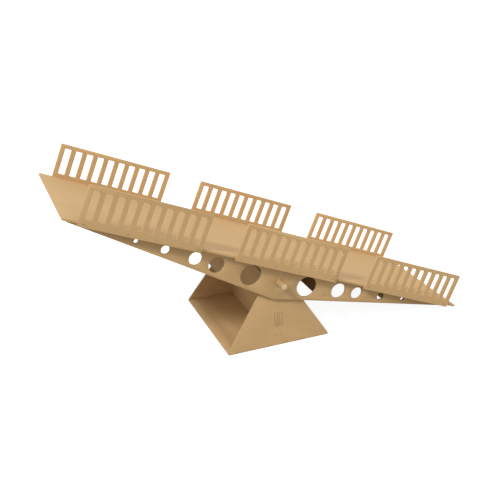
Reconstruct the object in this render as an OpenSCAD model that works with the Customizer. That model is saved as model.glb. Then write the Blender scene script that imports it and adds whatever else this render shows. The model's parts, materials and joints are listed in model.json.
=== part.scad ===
// Platform seesaw cut from flat sheet: a long railed deck on two V-shaped girders,
// rocking on an axle that runs through a low stand with leaning sides.
// +X is the end that rests on the ground, Y runs across, +Z is up.
// The origin is on the ground, straight below the axle.

/* [Deck] */
// Length of the deck board
deck_len = 2400; // [1800:10:3000]
// Width of the deck board
deck_w = 700; // [500:5:900]
// Thickness of the sheet that every panel is cut from
sheet_t = 12; // [9:0.5:15]

/* [Railings] */
// Height of the railings above the deck's top
rail_h = 180; // [120:2:240]
// How far the railings reach below the deck's top
rail_drop = 20; // [14:1:40]
// Bare deck left between two railings
rail_gap = 196; // [60:5:260]
// Bare deck left past the last railing at each end
rail_margin = 70; // [20:5:150]
// Upright slots in one railing
slots = 10; // [5:1:12]
// Width of an upright bar, and of the two end bars
bar_w = 24; // [12:1:28]
// Height of the slots' lower end above the deck's top
slot_low = 19; // [10:1:50]
// Height of the band above the slots
rail_band = 20; // [15:1:40]

/* [Girders] */
// Depth of a girder at its middle, below the deck board
girder_h = 184; // [140:2:240]
// Depth of a girder at its ends
girder_end_h = 12; // [8:1:30]
// Bare deck past each end of a girder
girder_margin = 30; // [10:5:80]
// Distance from the deck's long edge in to a girder's outer face
girder_inset = 30; // [15:1:60]
// Middles of the lightening holes, as fractions of half the deck's length
hole_at = [0.146, 0.318, 0.420, 0.559, 0.689];
// Sheet left above and below a hole
hole_edge = 20; // [10:0.5:24]
// Middle of an inner cross rib, as a fraction of half the deck's length
rib_at = 0.257; // [0.22:0.005:0.28]
// Middle of an outer cross rib, as a fraction of half the deck's length
outer_rib_at = 0.615; // [0.6:0.005:0.64]

/* [Pivot] */
// Height of the axle above the ground
pivot_h = 370; // [290:1:460]
// Distance from the deck's top down to the axle
pivot_drop = 96; // [84:1:110]
// Diameter of the axle
axle_d = 34; // [24:1:50]
// Length of axle that stands out past each girder
axle_out = 67; // [20:1:90]
// Wall of the bushes and of the pivot tube
wall = 4; // [3:0.5:5]
// Radius of the stand's rounded head
head_r = 49; // [42:1:58]

/* [Stand] */
// Length of the base plate
base_len = 592; // [480:4:720]
// Lean of the stand's two sides, in degrees
lean = 8.5; // [6:0.5:11]
// Distance between the middles of the two webs
web_pitch = 27; // [24:1:40]
// Height of the slots in the sides that take the webs' tenons
mortise_h = 74; // [60:1:100]
// Height of those slots' lower edge above the ground
mortise_z = 110; // [80:1:130]
// How far a tenon stands out past a side
tenon_out = 4; // [0:0.5:15]

/* [Fits] */
// Running clearance of the axle in its bushes, on the radius
run_fit = 0.05; // [0.02:0.01:0.1]
// Side play between a bush's flange and a girder
side_play = 0.5; // [0.3:0.1:1]
// Least gap between the girders and the stand's sides
side_gap = 3; // [2:0.5:6]
// Clearance round the finger joints and the screw heads
joint_fit = 0.15; // [0.05:0.05:0.4]
// Clearance round the tenons in their slots
tenon_gap = 1.3; // [0.2:0.1:2]
// Gap between the tops of the webs and the pivot tube
tube_gap = 0.3; // [0.2:0.1:4]

/* [Hidden] */
$fn = 64;
board = [0.79, 0.65, 0.46];
board_dark = [0.72, 0.58, 0.40];
steel = [0.62, 0.62, 0.60];
nylon = [0.85, 0.83, 0.78];

half = deck_len / 2;
under = pivot_drop - sheet_t;           // deck's underside above the axle
rail_len = (deck_len - 2 * rail_margin - 2 * rail_gap) / 3;
rail_step = rail_len + rail_gap;
slot_pitch = (rail_len - bar_w) / slots;
girder_half = half - girder_margin;
girder_out = deck_w / 2 - girder_inset; // outer face of a girder
girder_in = girder_out - sheet_t;
girder_mid = girder_out - sheet_t / 2;
function girder_depth(x) = girder_h - (girder_h - girder_end_h) * abs(x) / girder_half;
function hole_d(x) = girder_depth(x) - 2 * hole_edge;

// The tilt at which the low end of the girders or of the deck touches the ground
tip_z = under - girder_end_h;
function tilt_to_touch(x, z) = asin(pivot_h / norm([x, z])) + atan2(z, x);
tilt = min(tilt_to_touch(girder_half, tip_z), tilt_to_touch(half, under));

// Lowest place where a tilted girder still passes a side of the stand
edge_slope = atan2(girder_h - girder_end_h, girder_half);
belly = (girder_h - under) * cos(edge_slope) / cos(tilt - edge_slope);
side_run = base_len / 2 / (pivot_h + head_r * 1.85);
pass_k = tan(tilt - edge_slope) * side_run;
pass_z = pivot_h - (belly + pass_k * head_r * 1.85) / (1 - pass_k);

side_foot = girder_in - side_gap + tan(lean) * (pass_z - sheet_t); // outer face at the foot
base_w = 2 * (side_foot + tan(lean) * sheet_t);
side_slant = sheet_t / cos(lean);       // thickness of a leaning side, measured along Y
function side_y(z) = side_foot - tan(lean) * (z - sheet_t);

tube_r = axle_d / 2 + 2 * wall;
bush_r = axle_d / 2 + wall;
flange_t = wall - 1;
tube_end = girder_in - side_play - flange_t;
web_top = pivot_h - tube_r - tube_gap;
finger_w = base_len / 7;
fingers = [-1, 0, 1] * base_len / 3;

screw_d = 4;
screw_head = 8;
screw_head_t = 3;
deck_screw_at = [0.05, 0.225, 0.371, 0.5, 0.63, 0.79, 0.925];
rail_screw_at = [-0.455, -0.116, 0.116, 0.455];
rib_screw_at = [0.25, 0.75];
base_screw_at = [-0.6, 0, 0.6];
web_screw_z = [mortise_z / 2, web_top - 60];

// ---- shared shapes ----------------------------------------------------------

// Puts a piece drawn about the axle into its place on the tilted beam
module on_beam() {
    translate([0, 0, pivot_h]) rotate([0, tilt, 0]) children();
}

// Cylinder along Y, centred on the axle line
module y_rod(r, len) {
    rotate([90, 0, 0]) cylinder(r = r, h = len, center = true);
}

// Repeats a piece on the front (-Y) and the back (+Y)
module both_sides() {
    children();
    mirror([0, 1, 0]) children();
}

// Countersunk screw: its head's top at the origin, its point down -Z
module screw(len, extra = 0) {
    translate([0, 0, -screw_head_t])
        cylinder(d1 = screw_d + 2 * extra, d2 = screw_head + 2 * extra, h = screw_head_t);
    translate([0, 0, -len]) cylinder(d = screw_d + 2 * extra, h = len - screw_head_t + 0.01);
}

// ---- places of the fasteners ------------------------------------------------

module deck_screw_places() {
    for (side = [-1, 1], end = [-1, 1], f = deck_screw_at)
        translate([end * f * half, side * girder_mid, pivot_drop]) children();
}

module rail_screw_places() {
    for (side = [-1, 1], k = [-1, 0, 1], f = rail_screw_at)
        translate([k * rail_step + f * rail_len, side * (deck_w / 2 + sheet_t),
                   pivot_drop - sheet_t / 2])
            rotate([-90 * side, 0, 0]) children();
}

module rib_screw_places() {
    for (side = [-1, 1], end = [-1, 1], at = [rib_at, outer_rib_at], f = rib_screw_at)
        translate([end * at * half, side * girder_out,
                   under - f * girder_depth(at * half)])
            rotate([-90 * side, 0, 0]) children();
}

module base_screw_places() {
    for (side = [-1, 1], f = base_screw_at)
        translate([side * web_pitch / 2, f * side_y(sheet_t), 0])
            rotate([180, 0, 0]) children();
}

module web_screw_places() {
    for (side = [-1, 1], x = [-1, 1], z = web_screw_z)
        translate([x * web_pitch / 2, side * (side_y(z) - 1), z])
            rotate([-90 * side, 0, 0]) children();
}

// ---- beam: everything that rocks --------------------------------------------

module deck() {
    color(board) on_beam() difference() {
        translate([-half, -deck_w / 2, under]) cube([deck_len, deck_w, sheet_t]);
        deck_screw_places() screw(3 * sheet_t, joint_fit);
        rail_screw_places() screw(3 * sheet_t, joint_fit);
    }
}

// Side view of a girder: a shallow V with clipped ends, drawn in X and Z
module girder_outline() {
    polygon([
        [-girder_half, under], [girder_half, under],
        [girder_half, tip_z], [0, under - girder_h], [-girder_half, tip_z]
    ]);
}

module girder(side) {
    on_beam() difference() {
        translate([0, side * girder_mid + sheet_t / 2, 0]) rotate([90, 0, 0])
            linear_extrude(sheet_t) girder_outline();
        for (end = [-1, 1], f = hole_at) {
            x = f * half;
            translate([end * x, side * girder_mid, under - girder_depth(x) / 2])
                y_rod(hole_d(x) / 2, 2 * sheet_t);
        }
        y_rod(axle_d / 2, deck_w);
        deck_screw_places() screw(2.5 * sheet_t, joint_fit);
        rib_screw_places() screw(3 * sheet_t, joint_fit);
    }
}

module girder_front() { color(board_dark) girder(-1); }
module girder_back() { color(board_dark) girder(1); }

// Upright board across the beam, between the two girders
module rib(at) {
    x = at * half;
    depth = girder_depth(x) - 2;
    color(board_dark) on_beam() difference() {
        translate([x - sheet_t / 2, -girder_in, under - depth])
            cube([sheet_t, 2 * girder_in, depth]);
        rib_screw_places() screw(3 * sheet_t, joint_fit);
    }
}

module rib_left() { rib(-rib_at); }
module rib_right() { rib(rib_at); }
module rib_outer_left() { rib(-outer_rib_at); }
module rib_outer_right() { rib(outer_rib_at); }

// One railing panel, k panels along from the middle, on the front or the back
module rail(side, k) {
    color(board) on_beam() difference() {
        translate([k * rail_step - rail_len / 2,
                   side * (deck_w + sheet_t) / 2 - sheet_t / 2, pivot_drop - rail_drop])
            cube([rail_len, sheet_t, rail_h + rail_drop]);
        for (i = [0 : slots - 1])
            translate([k * rail_step - rail_len / 2 + bar_w + i * slot_pitch,
                       side * (deck_w + sheet_t) / 2 - sheet_t, pivot_drop + slot_low])
                cube([slot_pitch - bar_w, 2 * sheet_t, rail_h - slot_low - rail_band]);
        rail_screw_places() screw(3 * sheet_t, joint_fit);
    }
}

module rail_front_left() { rail(-1, -1); }
module rail_front_middle() { rail(-1, 0); }
module rail_front_right() { rail(-1, 1); }
module rail_back_left() { rail(1, -1); }
module rail_back_middle() { rail(1, 0); }
module rail_back_right() { rail(1, 1); }

axle_len = 2 * (girder_out + axle_out);
pin_d = axle_d / 7;
pin_y = girder_out + pin_d / 2 + 1;

module axle() {
    color(board) on_beam() difference() {
        y_rod(axle_d / 2, axle_len);
        for (side = [-1, 1])
            translate([0, side * pin_y, 0])
                cylinder(d = pin_d, h = 2 * axle_d, center = true);
    }
}

// Cross pins that keep the axle from sliding out of the girders
module axle_pins() {
    color(steel) on_beam() for (side = [-1, 1])
        translate([0, side * pin_y, 0])
            cylinder(d = pin_d, h = axle_d * 1.3, center = true);
}

module deck_screws() {
    color(steel) on_beam() deck_screw_places() screw(2.5 * sheet_t);
}

module rail_screws() {
    color(steel) on_beam() rail_screw_places() screw(3 * sheet_t);
}

module rib_screws() {
    color(steel) on_beam() rib_screw_places() screw(3 * sheet_t);
}

// ---- stand: everything that stays still -------------------------------------

module base_plate() {
    color(board) difference() {
        translate([-base_len / 2, -base_w / 2, 0]) cube([base_len, base_w, sheet_t]);
        both_sides() for (x = fingers)
            translate([x - finger_w / 2 - joint_fit,
                       side_foot - side_slant - joint_fit, -1])
                cube([finger_w + 2 * joint_fit, base_w, sheet_t + 2]);
        base_screw_places() screw(3 * sheet_t, joint_fit);
    }
}

// Flat outline of a side: a triangle that closes in a round head about the axle
module side_outline() {
    foot = base_len / 2;
    head_v = (pivot_h - sheet_t + sin(lean) * sheet_t / 2) / cos(lean);
    reach = norm([foot, head_v]);
    touch = acos(head_r / reach) - atan2(head_v, foot);
    tx = head_r * cos(touch);
    tv = head_v + head_r * sin(touch);
    polygon([[-foot, 0], [-foot, -2 * sheet_t], [foot, -2 * sheet_t], [foot, 0],
             [tx, tv], [-tx, tv]]);
    translate([0, head_v]) circle(r = head_r);
}

// The back side, leaning in over the base; the front one is its mirror image
module side_panel() {
    difference() {
        intersection() {
            translate([0, side_foot, sheet_t]) rotate([90 + lean, 0, 0])
                linear_extrude(sheet_t) side_outline();
            union() {
                translate([-base_len, 0, sheet_t]) cube([2 * base_len, base_w, 2 * pivot_h]);
                for (x = fingers)
                    translate([x - finger_w / 2, 0, 0]) cube([finger_w, base_w, 2 * sheet_t]);
            }
        }
        for (x = [-1, 1])
            translate([x * web_pitch / 2 - sheet_t / 2 - tenon_gap, 0, mortise_z])
                cube([sheet_t + 2 * tenon_gap, base_w, mortise_h]);
        translate([0, 0, pivot_h]) y_rod(tube_r, 2 * base_w);
        web_screw_places() screw(3 * sheet_t, joint_fit);
        web_screw_places() cylinder(d = screw_head + 2 * joint_fit, h = sheet_t);
    }
}

module side_front() { color(board) mirror([0, 1, 0]) side_panel(); }
module side_back() { color(board) side_panel(); }

// End view of a web in Y and Z: it fills the stand and has a tenon at each end
module web_outline() {
    foot_y = side_y(sheet_t) - side_slant;
    top_y = side_y(web_top) - side_slant;
    low = mortise_z + tenon_gap;
    high = mortise_z + mortise_h - tenon_gap;
    low_y = side_y(low) + tenon_out;
    high_y = side_y(high) + tenon_out;
    polygon([[-foot_y, sheet_t], [foot_y, sheet_t], [top_y, web_top], [-top_y, web_top]]);
    polygon([[-low_y, low], [low_y, low], [high_y, high], [-high_y, high]]);
}

module web(end) {
    color(board) difference() {
        translate([end * web_pitch / 2 - sheet_t / 2, 0, 0]) rotate([90, 0, 90])
            linear_extrude(sheet_t) web_outline();
        base_screw_places() screw(3 * sheet_t, joint_fit);
        web_screw_places() screw(3 * sheet_t, joint_fit);
    }
}

module web_left() { web(-1); }
module web_right() { web(1); }

module pivot_tube() {
    color(board) translate([0, 0, pivot_h]) difference() {
        y_rod(tube_r, 2 * tube_end);
        y_rod(bush_r, 3 * tube_end);
    }
}

// Plain bush with a flange against the tube's end
module bush() {
    bush_len = axle_d;
    color(nylon) translate([0, 0, pivot_h]) difference() {
        union() {
            translate([0, tube_end + flange_t / 2, 0]) y_rod(tube_r + 1, flange_t);
            translate([0, tube_end - bush_len / 2, 0]) y_rod(bush_r, bush_len);
        }
        translate([0, tube_end, 0]) y_rod(axle_d / 2 + run_fit, 3 * bush_len);
    }
}

module bush_front() { mirror([0, 1, 0]) bush(); }
module bush_back() { bush(); }

module base_screws() { color(steel) base_screw_places() screw(3 * sheet_t); }
module web_screws() { color(steel) web_screw_places() screw(3 * sheet_t); }

deck();
girder_front();
girder_back();
rib_left();
rib_right();
rib_outer_left();
rib_outer_right();
rail_front_left();
rail_front_middle();
rail_front_right();
rail_back_left();
rail_back_middle();
rail_back_right();
axle();
axle_pins();
deck_screws();
rail_screws();
rib_screws();
base_plate();
side_front();
side_back();
web_left();
web_right();
pivot_tube();
bush_front();
bush_back();
base_screws();
web_screws();
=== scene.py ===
# %% [markdown]
# # A platform seesaw, cut from plywood
# The real seesaw is a kit of flat plywood panels. A long deck with slotted railings
# sits on two V-shaped girders, and the whole beam rocks on a wooden axle that runs
# through a low stand. This lesson takes the exact shapes from the CAD model, eases
# the edges as sandpaper would, and gives each piece its finish.
# Everything is in metres. +X is the end that rests on the ground, Y runs across.

# %% Load the CAD model
import json
import math
import bmesh
import bpy
from mathutils import Matrix, Vector


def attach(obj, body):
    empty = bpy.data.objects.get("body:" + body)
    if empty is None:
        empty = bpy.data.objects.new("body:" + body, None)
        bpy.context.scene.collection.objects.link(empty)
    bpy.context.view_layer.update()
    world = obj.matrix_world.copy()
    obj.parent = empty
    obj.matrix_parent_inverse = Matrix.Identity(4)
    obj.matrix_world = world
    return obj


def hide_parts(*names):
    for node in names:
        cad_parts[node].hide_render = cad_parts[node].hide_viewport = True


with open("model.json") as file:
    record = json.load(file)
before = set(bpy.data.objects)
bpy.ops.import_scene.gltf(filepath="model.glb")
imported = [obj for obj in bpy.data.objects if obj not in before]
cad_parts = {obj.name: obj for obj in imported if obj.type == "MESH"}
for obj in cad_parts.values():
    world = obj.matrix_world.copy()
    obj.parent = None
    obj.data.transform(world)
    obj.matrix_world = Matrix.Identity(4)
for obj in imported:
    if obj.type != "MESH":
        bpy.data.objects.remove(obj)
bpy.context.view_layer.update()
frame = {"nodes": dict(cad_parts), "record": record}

scene = bpy.context.scene

# %% [markdown]
# ## Camera
# The camera stands to the front left, above the railings, and looks down on the deck.
# A lens a little longer than normal keeps the far railings nearly as tall as the near
# ones. Its place is written as numbers because nothing on the seesaw decides it.

# %% Camera
SENSOR_MM, LENS_MM = 36.0, 52.94
CAMERA_PLACE = (-1.4815, -3.4590, 2.0945)
FARTHEST_SEEN = 200.0
camera_data = bpy.data.cameras.new("camera")
camera_data.sensor_width = SENSOR_MM
camera_data.lens = LENS_MM
camera = bpy.data.objects.new("camera", camera_data)
scene.collection.objects.link(camera)
scene.camera = camera
camera.location = CAMERA_PLACE
looks_along = Vector((0.35324, 0.84295, -0.40578))
camera.rotation_mode = "QUATERNION"
camera.rotation_quaternion = looks_along.to_track_quat("-Z", "Y")
camera_data.clip_end = FARTHEST_SEEN
turned = math.degrees(math.atan2(looks_along.x, looks_along.y))
print("camera turned", round(turned, 1), "degrees")

# %% [markdown]
# ## Light and floor
# A photographer would light plain wood with one large lamp and a white room. A sun lamp
# with a wide disc gives the soft-edged shadow under the railings, and a pale room fills
# the rest. The room is a little darker low on the left, as if a wall stood there, so the
# faces that look that way are not as light as the front. The camera sees neither the
# room nor the floor as they are. It sees a white backdrop and a floor that glows almost
# white, while the light that bounces off the floor treats it as grey, or the underside
# would glow.

# %% Sun lamp
SUN_FROM_AZIMUTH, SUN_HEIGHT, SUN_DISC = -60.0, 45.0, 10.0
SUN_ENERGY = 1.73
sun_data = bpy.data.lights.new("sun", "SUN")
sun_data.energy = SUN_ENERGY
sun_data.angle = math.radians(SUN_DISC)
sun = bpy.data.objects.new("sun", sun_data)
scene.collection.objects.link(sun)
azimuth, height = math.radians(SUN_FROM_AZIMUTH), math.radians(SUN_HEIGHT)
towards_sun = Vector((math.sin(azimuth) * math.cos(height),
                      -math.cos(azimuth) * math.cos(height), math.sin(height)))
sun.rotation_euler = towards_sun.to_track_quat("Z", "Y").to_euler()
scene.view_settings.view_transform = "Standard"
print("the sun stands towards", [round(c, 2) for c in towards_sun])

# %% World and floor
world = bpy.data.worlds.new("room")
scene.world = world
world.use_nodes = True
ROOM_LIGHT, ROOM_COLOUR = 0.88, (1.0, 0.99, 0.97, 1.0)
DARK_WALL, WALL_EDGE = 0.25, -1.3
room_nodes, room_links = world.node_tree.nodes, world.node_tree.links
room = room_nodes["Background"]
backdrop = room_nodes.new("ShaderNodeBackground")
backdrop.inputs["Color"].default_value = (1.0, 1.0, 1.0, 1.0)
room.inputs["Color"].default_value = ROOM_COLOUR
room_way = room_nodes.new("ShaderNodeTexCoord").outputs["Generated"]
room_split = room_nodes.new("ShaderNodeSeparateXYZ")
room_links.new(room_way, room_split.inputs[0])


def room_math(operation, a, b, c=0.0, clamp=True):
    """One number of the room's light, worked out from the way it comes."""
    made = room_nodes.new("ShaderNodeMath")
    made.operation, made.use_clamp = operation, clamp
    for socket, value in zip(made.inputs, (a, b, c)):
        if isinstance(value, bpy.types.NodeSocket):
            room_links.new(value, socket)
        else:
            socket.default_value = value
    return made.outputs[0]


leftward = room_math("MULTIPLY", room_split.outputs["X"], WALL_EDGE)
low_down = room_math("SUBTRACT", 1.0, room_math("ABSOLUTE", room_split.outputs["Z"], 0.0))
wall = room_math("MULTIPLY", leftward, low_down)
strength = room_math("MULTIPLY_ADD", wall, -DARK_WALL * ROOM_LIGHT, ROOM_LIGHT, clamp=False)
room_links.new(strength, room.inputs["Strength"])
room_path, room_mix = room_nodes.new("ShaderNodeLightPath"), room_nodes.new("ShaderNodeMixShader")
room_links.new(room_path.outputs["Is Camera Ray"], room_mix.inputs[0])
room_links.new(room.outputs[0], room_mix.inputs[1])
room_links.new(backdrop.outputs[0], room_mix.inputs[2])
room_links.new(room_mix.outputs[0], room_nodes["World Output"].inputs["Surface"])


SEEN_GREY, BOUNCED_GREY = (0.30, 0.30, 0.30, 1.0), (0.32, 0.31, 0.29, 1.0)
FLOOR_GLOW = 0.92


def floor_material():
    """A pale floor that glows a little to the camera and bounces light like a grey one."""
    material = bpy.data.materials.new("floor")
    material.use_nodes = True
    nodes, links = material.node_tree.nodes, material.node_tree.links
    nodes.clear()
    seen, bounced = nodes.new("ShaderNodeBsdfDiffuse"), nodes.new("ShaderNodeBsdfDiffuse")
    seen.inputs["Color"].default_value = SEEN_GREY
    bounced.inputs["Color"].default_value = BOUNCED_GREY
    glow, both = nodes.new("ShaderNodeEmission"), nodes.new("ShaderNodeAddShader")
    glow.inputs["Strength"].default_value = FLOOR_GLOW
    path, mix = nodes.new("ShaderNodeLightPath"), nodes.new("ShaderNodeMixShader")
    output = nodes.new("ShaderNodeOutputMaterial")
    links.new(seen.outputs[0], both.inputs[0])
    links.new(glow.outputs[0], both.inputs[1])
    links.new(path.outputs["Is Camera Ray"], mix.inputs[0])
    links.new(bounced.outputs[0], mix.inputs[1])
    links.new(both.outputs[0], mix.inputs[2])
    links.new(mix.outputs[0], output.inputs["Surface"])
    return material


def new_object(name, bm, materials):
    """Turns a finished bmesh into an object at the origin."""
    mesh = bpy.data.meshes.new(name)
    bm.to_mesh(mesh)
    bm.free()
    for material in materials:
        mesh.materials.append(material)
    piece = bpy.data.objects.new(name, mesh)
    scene.collection.objects.link(piece)
    return piece


FLOOR_RADIUS, FLOOR_DROP = 60.0, 0.0005
bm = bmesh.new()
bmesh.ops.create_circle(bm, cap_ends=True, segments=96, radius=FLOOR_RADIUS,
                        matrix=Matrix.Translation((0, 0, -FLOOR_DROP)))
floor = new_object("floor", bm, [floor_material()])
print("floor", 2 * FLOOR_RADIUS, "m across")

# %% [markdown]
# ## Reading a sheet's own directions
# Plywood has three directions that matter: along the face grain, across it, and through
# the plies. The biggest face of a panel tells which way its plies are stacked, so each
# panel can work out its own directions, however it leans.

# %% Sheet directions
PLY_SHEET = 0.012
WELD = 1e-5                      # points nearer than this are one corner
COPLANAR = math.radians(0.6)     # faces that turn less than this are one face


def merged_copy(node):
    """A welded copy of a CAD mesh, with its flat triangles joined into whole faces."""
    bm = bmesh.new()
    bm.from_mesh(frame["nodes"][node].data)
    bmesh.ops.remove_doubles(bm, verts=bm.verts, dist=WELD)
    bmesh.ops.dissolve_limit(bm, angle_limit=COPLANAR, use_dissolve_boundaries=False,
                             verts=bm.verts, edges=bm.edges, delimit=set())
    return bm


def sheet_directions(bm, grain):
    """Unit vectors along the grain, across it and through the plies, and the mid-plane."""
    through = max(bm.faces, key=lambda f: f.calc_area()).normal.copy()
    along = (grain - through * through.dot(grain)).normalized()
    across = through.cross(along)
    depths = [through.dot(v.co) for v in bm.verts]
    return along, across, through, (min(depths) + max(depths)) / 2


bm = merged_copy("deck")
beam_along, beam_up = sheet_directions(bm, Vector((1, 0, 0)))[0:3:2]
if beam_up.z < 0:
    beam_up = -beam_up
bm.free()
print("the beam tilts", round(math.degrees(math.asin(-beam_along.z)), 2), "degrees")

# %% [markdown]
# ## Plywood as one node group
# All panels come from the same kind of sheet, so the wood is one shader node group that
# every panel's material uses with its own place in the grain. The faces show fine fibres
# and slow bands of colour. The cut edges show the stacked plies. An attribute on each
# face says whether it is a cut edge, and another whether it is a sanded corner.

# %% Helpers for node trees
def add_socket(group, name, kind, value=None, out=False):
    """Adds a named socket to a node group."""
    socket = group.interface.new_socket(name, in_out="OUTPUT" if out else "INPUT", socket_type=kind)
    if value is not None:
        socket.default_value = value
    return socket


class Sheet:
    """A short way to add nodes to one tree and join them."""

    def __init__(self, tree):
        self.tree = tree

    def node(self, kind, joins=None, **settings):
        made = self.tree.nodes.new("ShaderNode" + kind)
        for key, value in settings.items():
            setattr(made, key, value)
        for key, value in (joins or {}).items():
            socket = made.inputs[key]
            if isinstance(value, bpy.types.NodeSocket):
                self.tree.links.new(value, socket)
            else:
                socket.default_value = value
        return made

    def math(self, operation, a, b=0.0, c=0.0, clamp=False):
        made = self.node("Math", {0: a, 1: b, 2: c}, operation=operation, use_clamp=clamp)
        return made.outputs[0]

    def stretch(self, vector, scale):
        """The vector with each direction scaled by its own number."""
        return self.node("Mapping", {"Vector": vector, "Scale": scale}).outputs[0]

    def noise(self, vector, scale, detail=2.0, rough=0.5):
        return self.node("TexNoise", {"Vector": vector, "Scale": scale, "Detail": detail,
                                      "Roughness": rough}).outputs["Fac"]

    def remap(self, value, low, high, to_low=0.0, to_high=1.0):
        return self.node("MapRange", {"Value": value, "From Min": low, "From Max": high,
                                      "To Min": to_low, "To Max": to_high}).outputs[0]

    def mix(self, share, a, b, how="MIX"):
        made = self.node("Mix", data_type="RGBA", blend_type=how, clamp_factor=True)
        for socket, value in ((made.inputs[0], share), (made.inputs[6], a), (made.inputs[7], b)):
            if isinstance(value, bpy.types.NodeSocket):
                self.tree.links.new(value, socket)
            else:
                socket.default_value = value
        return made.outputs[2]


print("helpers ready")

# %% The plywood group
PLIES = 9
PORE_COLOUR, SANDED_COLOUR = (0.23, 0.13, 0.06, 1), (0.80, 0.62, 0.38, 1)


def plywood_group():
    """Colour, roughness and height of a sheet, from a point in the sheet's directions."""
    group = bpy.data.node_groups.new("plywood", "ShaderNodeTree")
    add_socket(group, "Point", "NodeSocketVector")
    add_socket(group, "Cut Edge", "NodeSocketFloat", 0.0)
    add_socket(group, "Rubbed", "NodeSocketFloat", 0.0)
    add_socket(group, "Light Wood", "NodeSocketColor", (0.62, 0.42, 0.21, 1))
    add_socket(group, "Dark Wood", "NodeSocketColor", (0.50, 0.32, 0.15, 1))
    add_socket(group, "Figure", "NodeSocketFloat", 0.5)
    for name, kind in (("Color", "NodeSocketColor"), ("Roughness", "NodeSocketFloat"),
                       ("Height", "NodeSocketFloat")):
        add_socket(group, name, kind, out=True)
    s = Sheet(group)
    given = group.nodes.new("NodeGroupInput").outputs
    point = given["Point"]
    # slow bands of colour, a hand's breadth wide and a few of them long
    bend = s.noise(s.stretch(point, (1.1, 5.0, 5.0)), 1.0, 2.0)
    waves = s.node("TexNoise", {"Vector": s.stretch(point, (0.9, 13.0, 13.0)), "Scale": 1.0,
                                "Detail": 3.0, "Distortion": 0.6}).outputs["Fac"]
    rings = s.math("PINGPONG", s.math("MULTIPLY_ADD", bend, 2.2, waves), 0.5)
    bands = s.remap(s.math("MULTIPLY", rings, 2.0), 0.15, 0.95)
    # fibres and pores
    fibres = s.noise(s.stretch(point, (9.0, 420.0, 420.0)), 1.0, 3.0, 0.65)
    pores = s.remap(s.noise(s.stretch(point, (45.0, 900.0, 900.0)), 1.0, 1.0), 0.66, 0.76)
    tone = s.math("MULTIPLY_ADD", bands, 0.55, s.math("MULTIPLY", fibres, 0.45))
    tone = s.math("MULTIPLY", s.math("SUBTRACT", tone, 0.15), given["Figure"])
    face = s.mix(tone, given["Light Wood"], given["Dark Wood"])
    face = s.mix(s.math("MULTIPLY", pores, 0.22), face, PORE_COLOUR)
    # stacked plies on the cut edges
    split = s.node("SeparateXYZ", {0: point}).outputs
    ply = PLY_SHEET / PLIES
    stack = s.math("PINGPONG", s.math("ADD", split["Z"], PLY_SHEET * 20 + ply / 2), ply)
    stack = s.remap(stack, ply * 0.36, ply * 0.64)
    short = s.noise(s.stretch(point, (160.0, 160.0, 900.0)), 1.0, 2.0)
    edge = s.mix(s.math("MULTIPLY_ADD", stack, 0.50, s.math("MULTIPLY", short, 0.3)),
                 given["Light Wood"], given["Dark Wood"])
    colour = s.mix(given["Cut Edge"], face, edge)
    # sanded corners catch a little more light, in patches
    patches = s.remap(s.noise(point, 14.0, 3.0), 0.42, 0.62)
    rubbed = s.math("MULTIPLY", given["Rubbed"], s.math("MULTIPLY_ADD", patches, 0.25, 0.10))
    colour = s.mix(rubbed, colour, SANDED_COLOUR)
    smudge = s.remap(s.noise(point, 3.1, 4.0, 0.6), 0.35, 0.70)
    rough = s.math("MULTIPLY_ADD", smudge, 0.12, s.math("MULTIPLY_ADD", fibres, 0.14, 0.52))
    rough = s.math("MULTIPLY_ADD", given["Cut Edge"], 0.12, rough)
    height = s.math("SUBTRACT", s.math("MULTIPLY", fibres, 0.6), s.math("MULTIPLY", pores, 0.5))
    height = s.math("MULTIPLY_ADD", s.math("MULTIPLY", given["Cut Edge"], stack), 0.5, height)
    result = group.nodes.new("NodeGroupOutput").inputs
    for name, value in (("Color", colour), ("Roughness", rough), ("Height", height)):
        group.links.new(value, result[name])
    return group


plywood = plywood_group()
print("plywood group with", len(plywood.nodes), "nodes")

# %% [markdown]
# ## A material for one panel
# Each panel turns the pattern to its own directions with a Mapping node, and slides it
# to its own part of the sheet, so no two panels show the same grain.

# %% Panel material
BASE_LIGHT, BASE_DARK = (0.610, 0.400, 0.188), (0.525, 0.335, 0.150)
WOOD_SHINE = 0.35
GRAIN_DEPTH = 0.0003             # how deep the fibres look, in metres


def shade(colour, factor):
    """A colour made lighter or darker, with its alpha."""
    return (colour[0] * factor, colour[1] * factor, colour[2] * factor, 1.0)


def panel_material(name, directions, tone=1.0, figure=0.5, slide=(0.0, 0.0)):
    """Plywood turned to a panel's directions."""
    along, across, through, middle = directions
    material = bpy.data.materials.new(name)
    material.use_nodes = True
    s = Sheet(material.node_tree)
    shader = material.node_tree.nodes["Principled BSDF"]
    where = s.node("TexCoord").outputs["Object"]
    turn = Matrix((along, across, through)).to_euler("XYZ")
    point = s.node("Mapping", {"Vector": where, "Rotation": turn,
                               "Location": (slide[0], slide[1], -middle)}).outputs[0]
    wood = material.node_tree.nodes.new("ShaderNodeGroup")
    wood.node_tree = plywood
    s.tree.links.new(point, wood.inputs["Point"])
    for socket, attribute in (("Cut Edge", "cut_edge"), ("Rubbed", "rubbed")):
        flag = s.node("Attribute", attribute_name=attribute).outputs["Fac"]
        s.tree.links.new(flag, wood.inputs[socket])
    wood.inputs["Light Wood"].default_value = shade(BASE_LIGHT, tone)
    wood.inputs["Dark Wood"].default_value = shade(BASE_DARK, tone)
    wood.inputs["Figure"].default_value = figure
    s.tree.links.new(wood.outputs["Color"], shader.inputs["Base Color"])
    s.tree.links.new(wood.outputs["Roughness"], shader.inputs["Roughness"])
    bump = s.node("Bump", {"Height": wood.outputs["Height"], "Strength": 0.35,
                           "Distance": GRAIN_DEPTH})
    s.tree.links.new(bump.outputs[0], shader.inputs["Normal"])
    shader.inputs["Specular IOR Level"].default_value = WOOD_SHINE
    return material


print("a panel's material takes its directions, its tone and its figure")

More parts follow.
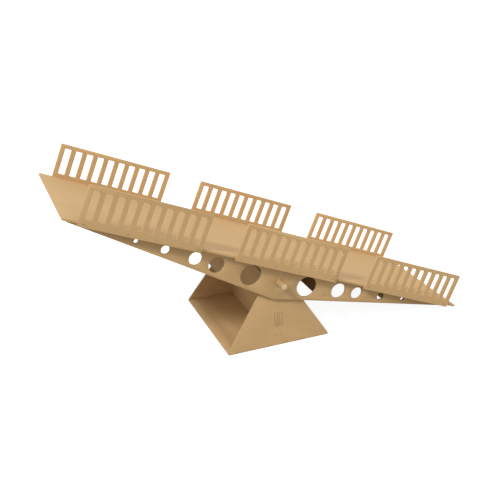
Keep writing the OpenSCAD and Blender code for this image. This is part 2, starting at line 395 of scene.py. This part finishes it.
# %% [markdown]
# ## Easing the edges
# A saw leaves sharp corners, and a maker takes them off with sandpaper before children
# play on it. On a welded copy of the CAD panel, the outward corners are bevelled by about
# a millimetre. Screw holes keep their crisp edges. The copy then stands for the CAD node.

# %% Eased panel
EASE = 0.0012                    # how far a corner is rubbed back
SHARP = math.radians(60)         # corners that turn more than this are eased
SHORTEST = 0.0008                # shorter edges belong to screw holes and stay crisp
ROUND = math.radians(24)         # walls that turn less than this between faces are round
FLAT = math.radians(0.7)         # less than this is no turn at all
SIDEWAYS = 0.3                   # below this a face looks sideways, out of a cut edge


def ease_edges(bm, width=EASE, steps=2, shortest=SHORTEST):
    """Bevels the outward corners and says which faces the bevel made."""
    sharp = [e for e in bm.edges if e.is_manifold and e.is_convex
             and e.calc_face_angle() > SHARP and e.calc_length() > shortest]
    made = bmesh.ops.bevel(bm, geom=sharp, offset=width, offset_type="OFFSET", segments=steps,
                           profile=0.5, affect="EDGES", material=-1, clamp_overlap=True,
                           loop_slide=True)
    return set(made["faces"])


def shade_faces(bm, corners=frozenset()):
    """Flat faces stay flat; eased corners and walls that turn in small steps are round."""
    for edge in bm.edges:
        eased = all(face in corners for face in edge.link_faces)
        edge.smooth = edge.is_manifold and (eased or edge.calc_face_angle() < ROUND)
    for face in bm.faces:
        steps = [e.calc_face_angle() for e in face.edges if e.is_manifold and e.smooth
                 and not any(other in corners for other in e.link_faces)]
        turning = sum(angle > FLAT for angle in steps) >= 2
        face.smooth = face in corners or turning


def panel(node, grain, tone=1.0, figure=0.5, slide=(0.0, 0.0)):
    """One plywood panel with eased edges, in place of its CAD node."""
    bm = merged_copy(node)
    directions = sheet_directions(bm, grain)
    corners = ease_edges(bm)
    cut_edge = bm.faces.layers.float.new("cut_edge")
    rubbed = bm.faces.layers.float.new("rubbed")
    for face in bm.faces:
        face[rubbed] = 1.0 if face in corners else 0.0
        face[cut_edge] = 1.0 if abs(face.normal.dot(directions[2])) < SIDEWAYS else 0.0
    shade_faces(bm, corners)
    material = panel_material(node + "_ply", directions, tone, figure, slide)
    piece = new_object(node + "_panel", bm, [material])
    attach(piece, body_of[node])
    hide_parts(node)
    return piece


bodies = frame["record"]["behaviour"]["bodies"]
body_of = {node: body for body, members in bodies.items() for node in members}
print("bodies:", sorted(set(body_of.values())))

# %% [markdown]
# ## The beam's panels
# Everything that rocks is cut with the face grain along the beam, where the wood has to
# be strong. Only the ribs run across. Sheets from one pile differ slightly in tone, by a
# few hundredths, so no panel looks like a copy of its neighbour.

# %% Deck, girders and ribs
across_beam = Vector((0, 1, 0))
deck = panel("deck", beam_along, tone=1.0, figure=0.55, slide=(0.3, 0.1))
girders = [panel("girder_front", beam_along, tone=0.97, slide=(2.1, 0.7)),
           panel("girder_back", beam_along, tone=0.99, slide=(4.4, 1.9))]
ribs = [panel("rib_left", across_beam, tone=0.96, slide=(0.9, 2.6)),
        panel("rib_right", across_beam, tone=0.97, slide=(1.7, 3.1)),
        panel("rib_outer_left", across_beam, tone=0.96, slide=(2.8, 3.9)),
        panel("rib_outer_right", across_beam, tone=0.96, slide=(3.6, 4.7))]
print("deck has", len(deck.data.polygons), "faces, a girder", len(girders[0].data.polygons))
print(len(ribs), "ribs")

# %% Railings
rails = []
for row, side in enumerate(("front", "back")):
    for column, place in enumerate(("left", "middle", "right")):
        tone = 1.00 + 0.01 * column
        rails.append(panel(f"rail_{side}_{place}", beam_along, tone=tone,
                           slide=(1.3 * column + 5.0 * row, 0.43 * column + 1.1 * row)))
print(len(rails), "railings,", len(rails[0].data.polygons), "faces each")

# %% [markdown]
# ## The stand's panels
# The base and the webs run across the stand, and the leaning sides have their grain level.

# %% Base, sides and webs
level = Vector((1, 0, 0))
base = panel("base_plate", across_beam, tone=0.93, slide=(0.2, 4.0))
sides = [panel("side_front", level, tone=0.95, slide=(3.3, 0.2)),
         panel("side_back", level, tone=0.96, slide=(5.1, 0.9))]
webs = [panel("web_left", across_beam, tone=0.94, slide=(6.2, 1.4)),
        panel("web_right", across_beam, tone=0.95, slide=(7.9, 2.3))]
print("the base has", len(base.data.polygons), "faces, a side", len(sides[0].data.polygons),
      "and a web", len(webs[0].data.polygons))

# %% [markdown]
# ## Round wood
# The axle is a turned rod and the pivot tube a bored one, both of solid wood. Solid wood
# has year rings round a heart. The heart lies off the rod's own middle, so the rings
# make arcs on the ends and long stripes on the round side, from one and the same pattern.
# The ends of both rods are painted lighter than the round side. This is painted light, standing in
# for light from the front.

# %% The solid wood group
RINGS_PER_METRE = 420.0
# painted light: the lighter colour that the rods' ends are painted, in place of light falling on
# them from the front
PAINTED_LIT_END_COLOUR = (0.78, 0.58, 0.34, 1)


def solid_wood_group():
    """Colour, roughness and height of solid wood, with its heart along the point's X."""
    group = bpy.data.node_groups.new("solid_wood", "ShaderNodeTree")
    add_socket(group, "Point", "NodeSocketVector")
    add_socket(group, "Rubbed", "NodeSocketFloat", 0.0)
    add_socket(group, "Cut Edge", "NodeSocketFloat", 0.0)
    add_socket(group, "Light Wood", "NodeSocketColor", (0.60, 0.40, 0.20, 1))
    add_socket(group, "Dark Wood", "NodeSocketColor", (0.44, 0.27, 0.12, 1))
    for name, kind in (("Color", "NodeSocketColor"), ("Roughness", "NodeSocketFloat"),
                       ("Height", "NodeSocketFloat")):
        add_socket(group, name, kind, out=True)
    s = Sheet(group)
    given = group.nodes.new("NodeGroupInput").outputs
    point = given["Point"]
    split = s.node("SeparateXYZ", {0: point}).outputs
    radius = s.math("SQRT", s.math("MULTIPLY_ADD", split["Y"], split["Y"],
                                   s.math("MULTIPLY", split["Z"], split["Z"])))
    wander = s.noise(s.stretch(point, (1.5, 30.0, 30.0)), 1.0, 2.0)
    wobble = s.math("MULTIPLY", wander, 1.6)
    years = s.math("FRACT", s.math("MULTIPLY_ADD", radius, RINGS_PER_METRE, wobble))
    late = s.math("POWER", years, 3.0)
    fibres = s.noise(s.stretch(point, (12.0, 700.0, 700.0)), 1.0, 3.0, 0.65)
    tone = s.math("MULTIPLY_ADD", late, 0.55, s.math("MULTIPLY", fibres, 0.40), clamp=True)
    colour = s.mix(tone, given["Light Wood"], given["Dark Wood"])
    # painted light: faces that look along the rod are painted lighter than the round side, with the
    # rings across them, as if lit from the front
    painted_lit_end = s.mix(s.math("MULTIPLY", late, 0.6), PAINTED_LIT_END_COLOUR, given["Light Wood"])
    colour = s.mix(given["Cut Edge"], colour, painted_lit_end)
    patches = s.remap(s.noise(point, 22.0, 3.0), 0.42, 0.62)
    rubbed = s.math("MULTIPLY", given["Rubbed"], s.math("MULTIPLY_ADD", patches, 0.30, 0.10))
    colour = s.mix(rubbed, colour, SANDED_COLOUR)
    rough = s.math("MULTIPLY_ADD", fibres, 0.15, s.math("MULTIPLY_ADD", late, -0.06, 0.55))
    height = s.math("MULTIPLY_ADD", late, 0.5, s.math("MULTIPLY", fibres, 0.5))
    result = group.nodes.new("NodeGroupOutput").inputs
    for name, value in (("Color", colour), ("Roughness", rough), ("Height", height)):
        group.links.new(value, result[name])
    return group


solid_wood = solid_wood_group()
print("solid wood group with", len(solid_wood.nodes), "nodes")

# %% Rod material
PIVOT = Vector(frame["record"]["behaviour"]["joints"][0]["pos_m"])
LATE_WOOD = 0.86                 # how dark the rings are, against a sheet's dark wood
ENDWAYS = 0.95                   # a face that looks this much along Y is an end; on the rods the ends are painted lighter, as painted light from the front


def rod_material(name, heart, tone=1.0):
    """Solid wood along Y, with its heart a little way off the pivot line."""
    material = bpy.data.materials.new(name)
    material.use_nodes = True
    s = Sheet(material.node_tree)
    shader = material.node_tree.nodes["Principled BSDF"]
    where = s.node("TexCoord").outputs["Object"]
    off = PIVOT + Vector((heart[0], 0.0, heart[1]))
    turn = Matrix(((0, 1, 0), (-1, 0, 0), (0, 0, 1)))
    point = s.node("Mapping", {"Vector": where, "Rotation": turn.to_euler("XYZ"),
                               "Location": -(turn @ off)}).outputs[0]
    wood = material.node_tree.nodes.new("ShaderNodeGroup")
    wood.node_tree = solid_wood
    s.tree.links.new(point, wood.inputs["Point"])
    for socket, attribute in (("Cut Edge", "cut_edge"), ("Rubbed", "rubbed")):
        flag = s.node("Attribute", attribute_name=attribute).outputs["Fac"]
        s.tree.links.new(flag, wood.inputs[socket])
    wood.inputs["Light Wood"].default_value = shade(BASE_LIGHT, tone)
    wood.inputs["Dark Wood"].default_value = shade(BASE_DARK, tone * LATE_WOOD)
    s.tree.links.new(wood.outputs["Color"], shader.inputs["Base Color"])
    s.tree.links.new(wood.outputs["Roughness"], shader.inputs["Roughness"])
    bump = s.node("Bump", {"Height": wood.outputs["Height"], "Strength": 0.4,
                           "Distance": GRAIN_DEPTH})
    s.tree.links.new(bump.outputs[0], shader.inputs["Normal"])
    shader.inputs["Specular IOR Level"].default_value = WOOD_SHINE
    return material


def small_piece(node, ending, material, width, shortest):
    """A CAD node with its outward rims rounded, in place of the node."""
    bm = merged_copy(node)
    corners = ease_edges(bm, width, shortest=shortest)
    rubbed = bm.faces.layers.float.new("rubbed")
    cut_edge = bm.faces.layers.float.new("cut_edge")
    for face in bm.faces:
        face[rubbed] = 1.0 if face in corners else 0.0
        face[cut_edge] = 1.0 if abs(face.normal.y) > ENDWAYS else 0.0
    shade_faces(bm, corners)
    piece = new_object(node + ending, bm, [material])
    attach(piece, body_of[node])
    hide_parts(node)
    print(node, len(piece.data.polygons), "faces")
    return piece


RIM = 0.0009
axle = small_piece("axle", "_rod", rod_material("axle_wood_rings", (0.007, -0.010), 0.92),
                   RIM, 0.0005)
tube = small_piece("pivot_tube", "_wood", rod_material("tube_wood_rings", (-0.012, 0.006), 0.93),
                   RIM / 3, 0.0005)
print("round pieces:", axle.name, "and", tube.name)

# %% [markdown]
# ## Steel and nylon
# The pins and the screws are steel with a yellow plating that has gone dull. A slow noise
# makes the plating yellower and rougher in patches, and a fine one gives it a grain. The
# bushes are natural nylon: milky, a little rough, slightly dirty where they were handled.

# %% The steel and nylon group
def dull_group():
    """Colour, roughness and height of a plain surface that has gone patchy with age."""
    group = bpy.data.node_groups.new("dulled", "ShaderNodeTree")
    add_socket(group, "Clean", "NodeSocketColor", (0.5, 0.5, 0.5, 1))
    add_socket(group, "Aged", "NodeSocketColor", (0.3, 0.3, 0.3, 1))
    add_socket(group, "Patch Scale", "NodeSocketFloat", 60.0)
    add_socket(group, "Smoothest", "NodeSocketFloat", 0.3)
    add_socket(group, "Rubbed", "NodeSocketFloat", 0.0)
    for name, kind in (("Color", "NodeSocketColor"), ("Roughness", "NodeSocketFloat"),
                       ("Height", "NodeSocketFloat")):
        add_socket(group, name, kind, out=True)
    s = Sheet(group)
    given = group.nodes.new("NodeGroupInput").outputs
    where = s.node("TexCoord").outputs["Object"]
    patches = s.remap(s.noise(where, given["Patch Scale"], 4.0, 0.6), 0.36, 0.66)
    grain = s.noise(where, 1800.0, 2.0, 0.6)
    worn = s.math("MULTIPLY", given["Rubbed"], 0.7)
    age = s.math("MULTIPLY", patches, s.math("SUBTRACT", 1.0, worn), clamp=True)
    colour = s.mix(age, given["Clean"], given["Aged"])
    fine = s.math("MULTIPLY_ADD", grain, 0.12, given["Smoothest"])
    rough = s.math("MULTIPLY_ADD", age, 0.22, fine)
    height = s.math("MULTIPLY_ADD", patches, 0.4, s.math("MULTIPLY", grain, 0.6))
    result = group.nodes.new("NodeGroupOutput").inputs
    for name, value in (("Color", colour), ("Roughness", rough), ("Height", height)):
        group.links.new(value, result[name])
    return group


dulled = dull_group()


def plain_material(name, clean, aged, smoothest, metallic, patch_scale):
    """A material of one substance that shows its age in patches."""
    material = bpy.data.materials.new(name)
    material.use_nodes = True
    s = Sheet(material.node_tree)
    shader = material.node_tree.nodes["Principled BSDF"]
    look = material.node_tree.nodes.new("ShaderNodeGroup")
    look.node_tree = dulled
    look.inputs["Clean"].default_value = (*clean, 1.0)
    look.inputs["Aged"].default_value = (*aged, 1.0)
    look.inputs["Patch Scale"].default_value = patch_scale
    look.inputs["Smoothest"].default_value = smoothest
    flag = s.node("Attribute", attribute_name="rubbed").outputs["Fac"]
    s.tree.links.new(flag, look.inputs["Rubbed"])
    s.tree.links.new(look.outputs["Color"], shader.inputs["Base Color"])
    s.tree.links.new(look.outputs["Roughness"], shader.inputs["Roughness"])
    bump = s.node("Bump", {"Height": look.outputs["Height"], "Strength": 0.15, "Distance": 0.0001})
    s.tree.links.new(bump.outputs[0], shader.inputs["Normal"])
    shader.inputs["Metallic"].default_value = metallic
    return material


STEEL_CLEAN, STEEL_AGED = (0.74, 0.58, 0.36), (0.54, 0.39, 0.21)
NYLON_CLEAN, NYLON_AGED = (0.70, 0.67, 0.58), (0.55, 0.49, 0.38)
FINE_RIM = 0.0004
steel = plain_material("dull_steel", STEEL_CLEAN, STEEL_AGED, 0.42, 1.0, 90.0)
nylon = plain_material("nylon", NYLON_CLEAN, NYLON_AGED, 0.42, 0.0, 45.0)
pins = small_piece("axle_pins", "_steel", steel, FINE_RIM, 0.0001)
bushes = [small_piece("bush_front", "_nylon", nylon, FINE_RIM, 0.0005),
          small_piece("bush_back", "_nylon", nylon, FINE_RIM, 0.0005)]
print("pins share", pins.active_material.name + ", bushes", bushes[0].active_material.name)

# %% [markdown]
# ## Screws
# Countersunk screws hold the panels. A screw that shows needs a drive, so each head's
# flat top is inset, its ring pulled in and out to make six lobes, and pushed down.
# All the screws of one CAD group stay one object, as they share one finish.

# %% Screw group
HEAD_R, DRIVE_R, DRIVE_DEPTH = 0.004, 0.0021, 0.0016
LOBES, LOBE_DEPTH = 6, 0.16
HEAD_AREA = 2.5 * HEAD_R ** 2    # a smaller face is not the top of a head
OUTWARD = 0.99                   # a head's top looks at least this much along the axis


def screw_group(node, axis, material):
    """Screws with a six-lobed drive, in place of a CAD group. The axis points out of a head."""
    bm = merged_copy(node)
    heads = []
    for face in bm.faces:
        if abs(face.normal.dot(axis)) > OUTWARD and face.calc_area() > HEAD_AREA:
            heads.append(face)
    for head in heads:
        centre, out = head.calc_center_median(), head.normal.copy()
        bmesh.ops.inset_individual(bm, faces=[head], thickness=HEAD_R - DRIVE_R, depth=0.0)
        side_way = out.orthogonal().normalized()
        other_way = out.cross(side_way)
        for vert in head.verts:
            arm = vert.co - centre
            turn = math.atan2(arm.dot(other_way), arm.dot(side_way))
            vert.co = centre + arm * (1.0 + LOBE_DEPTH * math.cos(LOBES * turn))
        pushed = bmesh.ops.extrude_discrete_faces(bm, faces=[head])
        floor_face = pushed["faces"][0]
        bmesh.ops.translate(bm, verts=list(floor_face.verts), vec=-out * DRIVE_DEPTH)
    bmesh.ops.recalc_face_normals(bm, faces=bm.faces)
    shade_faces(bm)
    piece = new_object(node + "_driven", bm, [material])
    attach(piece, body_of[node])
    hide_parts(node)
    print(node, len(heads), "heads")
    return piece


screw_axes = {"deck_screws": beam_up, "rail_screws": Vector((0, 1, 0)),
              "rib_screws": Vector((0, 1, 0)), "web_screws": Vector((0, 1, 0)),
              "base_screws": Vector((0, 0, 1))}
screws = [screw_group(node, axis, steel) for node, axis in screw_axes.items()]
print(len(screws), "groups of screws")
